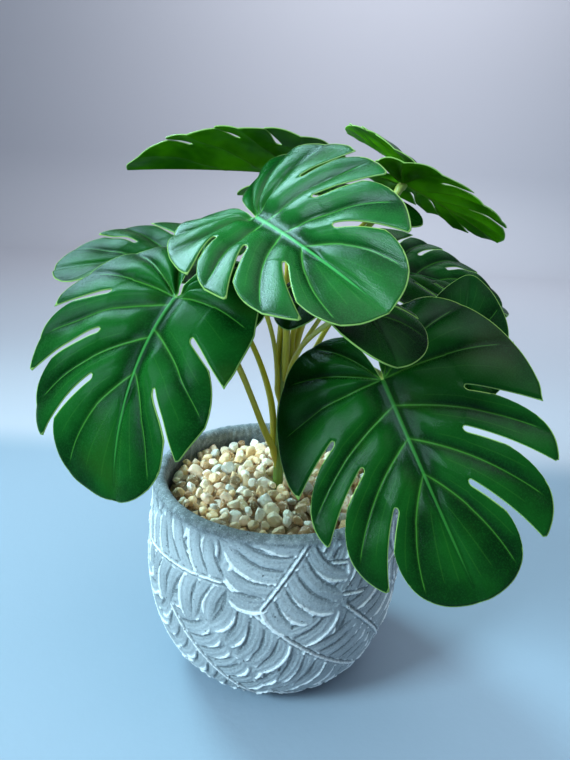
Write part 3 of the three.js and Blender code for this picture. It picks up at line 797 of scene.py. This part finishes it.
def pot_piece():
    outer = outside_profile(60)
    step = np.r_[0, np.cumsum(np.hypot(*np.diff(outer, axis=0).T))]
    tall = step[-1]
    rows = int(tall / 0.36)
    at = np.linspace(0, tall, rows + 1)
    outer = np.column_stack([np.interp(at, step, outer[:, 0]), np.interp(at, step, outer[:, 1])])
    lip = POT_WALL / 2
    turn = np.linspace(0, math.pi, 18)[1:-1]
    rim = np.column_stack([POT_RIM_R - lip + lip * np.cos(turn), POT_HEIGHT - lip + lip * np.sin(turn)])
    z = np.linspace(POT_HEIGHT - lip, POT_FLOOR + 4, 40)
    inner = np.column_stack([np.interp(z, outer[:, 1], outer[:, 0]) - POT_WALL, z])
    floor = np.array([[inner[-1, 0] - 1.2, POT_FLOOR + 1.2], [inner[-1, 0] - 4, POT_FLOOR], [18, POT_FLOOR],
                      [2, POT_FLOOR]])
    base = np.array([[2, 0], [18, 0], [POT_BASE_R - 1.2, 0]])
    outer[0] = (POT_BASE_R - 0.3, 0.12)
    profile = np.concatenate([base, outer, rim, inner, floor])
    sides = 1024
    around = np.linspace(0, 2 * math.pi, sides, endpoint=False)
    relief = pot_relief()
    r = np.repeat(profile[None, :, 0], sides, 0)
    zz = np.repeat(profile[None, :, 1], sides, 0)
    high = np.full_like(r, 0.45)
    iu = np.round(around / (2 * math.pi) * ROUND).astype(int) % ROUND
    first, last = len(base), len(base) + len(outer)
    iv = np.clip(np.round(at / CELL).astype(int), 0, TALL - 1)
    cell = relief[iu][:, iv]
    fade = smooth(1.0, 5, at) * (1 - 0.6 * smooth(tall - 2, tall + 1, at))
    slope = np.gradient(outer, axis=0)
    slope /= np.linalg.norm(slope, axis=1)[:, None]
    push = (cell - 0.55) * RELIEF_DEPTH * fade[None]
    r[:, first:last] += push * slope[None, :, 1]
    zz[:, first:last] -= push * slope[None, :, 0]
    high[:, first:last] = np.clip(0.45 + (cell - 0.45) * 0.75 * fade[None], 0, 1)
    # The lip is slightly uneven and keeps the ends of the leaflets; it and the inside are darker.
    notch = 0.3 * noise2(around * 26, around * 0) + 0.24 * noise2(around * 7, around * 0 + 5)
    notch = notch[:, None]
    high[:, last:] = 0.21 + 0.1 * noise2(around[:, None] * 40, profile[None, last:, 1] * 0.8)
    high[:, last - 6:last] *= np.linspace(1, 0.6, 6)
    band = slice(last - 8, last + len(rim) + 4)
    r[:, band] += notch * 0.7
    zz[:, last:last + len(rim)] += notch * 0.5
    grit = noise2(around[:, None] * 60, profile[None, :, 1] * 0.9) * 0.07
    r[:, first + 6:last + len(rim) + 30] += grit[:, first + 6:last + len(rim) + 30]
    x, y = r * np.cos(around)[:, None], r * np.sin(around)[:, None]
    verts = np.stack([x, y, zz], -1).reshape(-1, 3)
    cols = profile.shape[0]
    grid = np.arange(sides * cols).reshape(sides, cols)
    nxt = np.roll(grid, -1, axis=0)
    faces = np.stack([grid[:, :-1], nxt[:, :-1], nxt[:, 1:], grid[:, 1:]], -1).reshape(-1, 4).tolist()
    faces.append(grid[::-1, 0].tolist())
    faces.append(grid[:, -1].tolist())
    piece = build("cement_pot", verts, faces, [("high", high.ravel()), ("place", verts)])
    piece.data.materials.append(pot_material())
    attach(piece, "root")
    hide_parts("pot")


# ---- Pebbles ----
def ball(level):
    """Points and triangles of an icosphere."""
    g = (1 + 5**0.5) / 2
    v = [(-1, g, 0), (1, g, 0), (-1, -g, 0), (1, -g, 0), (0, -1, g), (0, 1, g), (0, -1, -g), (0, 1, -g),
         (g, 0, -1), (g, 0, 1), (-g, 0, -1), (-g, 0, 1)]
    f = [(0, 11, 5), (0, 5, 1), (0, 1, 7), (0, 7, 10), (0, 10, 11), (1, 5, 9), (5, 11, 4), (11, 10, 2),
         (10, 7, 6), (7, 1, 8), (3, 9, 4), (3, 4, 2), (3, 2, 6), (3, 6, 8), (3, 8, 9), (4, 9, 5),
         (2, 4, 11), (6, 2, 10), (8, 6, 7), (9, 8, 1)]
    v = [Vector(p).normalized() for p in v]
    for _ in range(level):
        middle, split = {}, []

        def mid(a, b):
            key = (min(a, b), max(a, b))
            if key not in middle:
                middle[key] = len(v)
                v.append(((v[a] + v[b]) / 2).normalized())
            return middle[key]

        for a, b, c in f:
            ab, bc, ca = mid(a, b), mid(b, c), mid(c, a)
            split += [(a, ab, ca), (b, bc, ab), (c, ca, bc), (ab, bc, ca)]
        f = split
    return np.array([list(p) for p in v]), np.array(f)


def stone(rng, sphere, size):
    """A crushed, tumbled stone: a ball cut back by a few rounded planes."""
    shift = rng.uniform(0, 50)
    sx, sy, sz = sphere[:, :1], sphere[:, 1:2], sphere[:, 2:]
    p = sphere * (1 + 0.13 * noise2(sx * 1.9 + shift, sy * 1.9 + sz * 1.7))
    for _ in range(rng.integers(6, 10)):
        n = rng.normal(size=3)
        n /= np.linalg.norm(n)
        over = np.maximum(0, p @ n - rng.uniform(0.55, 0.88))
        p = p - 0.8 * over[:, None] * n
    p = p * (1 + 0.05 * noise2(sx * 5 + shift, sy * 5 - sz * 4))
    p = p * np.array([1.0, rng.uniform(0.68, 0.95), rng.uniform(0.55, 0.85)])
    q, _ = np.linalg.qr(rng.normal(size=(3, 3)))
    if np.linalg.det(q) < 0:
        q[:, 0] *= -1
    return p @ q.T * size / 2


# How far out the stones' middles and their outsides reach, in millimetres.
STONES_R, WALL_R = 46.2, 48.1
# Stones tried and their depth, for the lower layer and then the upper one.
LAYERS = ((320, 3.0), (480, -0.6))


def pebble_piece():
    rng = np.random.default_rng(23)
    sphere, triangles = ball(3)
    verts, faces, tone, deep, offset = [], [], [], [], 0
    placed = np.empty((0, 3))
    for layer, (count, sink) in enumerate(LAYERS):
        for _ in range(count):
            for _ in range(30):
                angle, r = rng.uniform(0, 2 * math.pi), STONES_R * math.sqrt(rng.uniform(0, 1))
                size = rng.choice([5.0, 6.2, 7.6, 9.0], p=[0.28, 0.36, 0.26, 0.1]) * rng.uniform(0.88, 1.12)
                x, y = r * math.cos(angle), r * math.sin(angle)
                room = (size / 2 + placed[:, 2]) * 0.74 if len(placed) else np.array([])
                if r > TRUNK_R + size * 0.42 + 0.4 and (
                        not len(placed) or (np.hypot(placed[:, 0] - x, placed[:, 1] - y) > room).all()):
                    break
            else:
                continue
            placed = np.vstack([placed, (x, y, size / 2)])
            z = LEVEL + CROWN * (1 - (r / BED_R) ** 2) - size * 0.36 - sink + rng.uniform(-1.0, 1.0)
            z += 1.6 * (1 - (r / 40) ** 2) * (r < 40)
            p = stone(rng, sphere, size) + (x, y, z)
            p[:, :2] *= np.minimum(1, WALL_R / np.maximum(np.hypot(p[:, 0], p[:, 1]), 1e-6))[:, None]
            verts.append(p)
            faces.append(triangles + offset)
            offset += len(p)
            tone += [rng.uniform(0, 1)] * len(p)
            # The lower layer of stones gets painted shade.
            deep += [0.4 * (layer == 0)] * len(p)
        placed = np.empty((0, 3))
    # Under the stones lies the dark layer that they are set in, darkened further by painted shade.
    rings, sides = 24, 96
    hole = TRUNK_R + 0.3
    rim = BED_R - 0.4
    outline = [(rim, LEVEL - BED_DEPTH)]
    outline += [(hole + (rim - hole) * (1 - k / rings), None) for k in range(rings + 1)]
    outline.append((hole, LEVEL - BED_DEPTH))
    bed = np.empty((sides, len(outline), 3))
    for s in range(sides):
        a = 2 * math.pi * s / sides
        for k, (r, z) in enumerate(outline):
            x, y = r * math.cos(a), r * math.sin(a)
            if z is None:
                z = LEVEL - 4.2 + CROWN * (1 - (r / BED_R) ** 2) + 0.8 * float(noise2(x * 0.35, y * 0.35))
            bed[s, k] = (x, y, z)
    grid = np.arange(sides * len(outline)).reshape(sides, -1) + offset
    nxt = np.roll(grid, -1, axis=0)
    loops = [(k, (k + 1) % len(outline)) for k in range(len(outline))]
    quads = [[int(grid[s, a]), int(nxt[s, a]), int(nxt[s, b]), int(grid[s, b])]
             for s in range(sides) for a, b in loops]
    verts.append(bed.reshape(-1, 3))
    tone += [0.97] * bed.shape[0] * bed.shape[1]
    deep += [0.8] * bed.shape[0] * bed.shape[1]
    verts = np.concatenate(verts)
    piece = build("pebbles", verts, np.concatenate(faces).tolist() + quads,
                  [("tone", tone), ("deep", deep), ("place", verts)])
    piece.data.materials.append(pebble_material())
    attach(piece, "root")
    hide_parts("pebble_bed")


# ---- Stage ----
# Soft square lights: name, place, aim, side, power, colour and spread in degrees. Metres and watts.
LIGHTS = (
    ("key", (-0.7, 0.66, 0.86), (0, 0, 0.17), 0.42, 1.5, (0.5, 0.88, 1.0), 50),
    ("side", (-1.55, -0.95, 1.25), (0, 0, 0.1), 0.6, 7.6, (0.58, 0.87, 1.0), 60),
    ("top", (0.3, -0.25, 1.6), (0.1, 0, 0.1), 1.4, 7.5, (0.82, 0.93, 1.0), 120),
    ("wall", (0.3, 0.9, 1.6), (0.2, 1.8, 0.8), 1.2, 16.0, (0.95, 0.97, 1.0), 140),
)
SKY, SKY_STRENGTH = (0.66, 0.82, 1.0, 1.0), 0.36
CAMERA_AT = (0.0005, -0.224, 0.203)
CAMERA_PITCH, CAMERA_ROLL = 18.3, 3.4  # degrees down, and turned about the view
SENSOR_MM, LENS_MM = 36.0, 26.66842


def stage():
    """A pale floor that sweeps up into a pale wall behind, soft lights and the camera."""
    xs = np.linspace(-3.0, 3.0, 25)
    bend = [(-3.0, 0.0)] + [(y, 0.0) for y in np.linspace(-1.0, 1.5, 8)]
    bend += [(1.5 + 0.3 * math.sin(a), 0.3 - 0.3 * math.cos(a)) for a in np.linspace(0.1, math.pi / 2, 10)]
    bend += [(1.8, z) for z in np.linspace(0.6, 3.0, 6)]
    verts = [(x / MM, y / MM, z / MM) for x in xs for y, z in bend]
    n = len(bend)
    faces = [[i * n + k, (i + 1) * n + k, (i + 1) * n + k + 1, i * n + k + 1]
             for i in range(len(xs) - 1) for k in range(n - 1)]
    floor = build("floor", verts, faces)
    m = Nodes("painted_floor")
    place = m.add("TexCoord").outputs["Object"]
    split = m.add("SeparateXYZ")
    m.plug(place, split.inputs[0])
    paint = m.mix(m.ramp(split.outputs[1], 0.17, 0.23), (0.27, 0.335, 0.41), (0.48, 0.48, 0.53))
    m.set(Base_Color=paint, Roughness=0.7)
    m.set(Normal=m.bump(m.noise(place, 260.0, 3.0), 0.1, 0.001))
    floor.data.materials.append(m.material)

    for name, at, aim, size, power, color, spread in LIGHTS:
        data = bpy.data.lights.new(name, "AREA")
        data.shape, data.size, data.energy, data.color = "SQUARE", size, power, color
        data.spread = math.radians(spread)
        light = bpy.data.objects.new(name, data)
        light.visible_camera = False
        light.location = at
        light.rotation_euler = (Vector(aim) - Vector(at)).to_track_quat("-Z", "Y").to_euler()
        bpy.context.scene.collection.objects.link(light)

    world = bpy.data.worlds.new("studio")
    world.use_nodes = True
    background = next(n for n in world.node_tree.nodes if n.type == "BACKGROUND")
    background.inputs["Color"].default_value = SKY
    background.inputs["Strength"].default_value = SKY_STRENGTH
    bpy.context.scene.world = world
    bpy.context.scene.view_settings.view_transform = "Standard"

    data = bpy.data.cameras.new("camera")
    data.sensor_width, data.lens = SENSOR_MM, LENS_MM
    data.clip_start, data.clip_end = 0.01, 20
    camera = bpy.data.objects.new("camera", data)
    pitch, roll = math.radians(CAMERA_PITCH), math.radians(CAMERA_ROLL)
    ahead = Vector((0, math.cos(pitch), -math.sin(pitch)))
    right = Vector((1, 0, 0))
    up = right.cross(ahead)
    side, rise = math.cos(roll), math.sin(roll)
    right, up = right * side + up * rise, up * side - right * rise
    turn = Matrix((right, up, -ahead)).transposed().to_4x4()
    camera.matrix_world = Matrix.Translation(CAMERA_AT) @ turn
    bpy.context.scene.collection.objects.link(camera)
    bpy.context.scene.camera = camera


stage()
pot_piece()
pebble_piece()
olive = stem_material("stem_olive", (0.52, 0.42, 0.02), (0.42, 0.54, 0.12), (0.66, 0.52, 0.06))
green = stem_material("stem_green", (0.16, 0.28, 0.04), (0.28, 0.3, 0.03), (0.34, 0.36, 0.07))
trunk_piece(green)
for name, leaf in LEAVES.items():
    petiole_piece(name, leaf, STEMS[name], olive)
    leaf_piece(name, leaf)
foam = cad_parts["foam_block"]
foam.data.materials.clear()
foam.data.materials.append(foam_material())

bpy.context.view_layer.update()
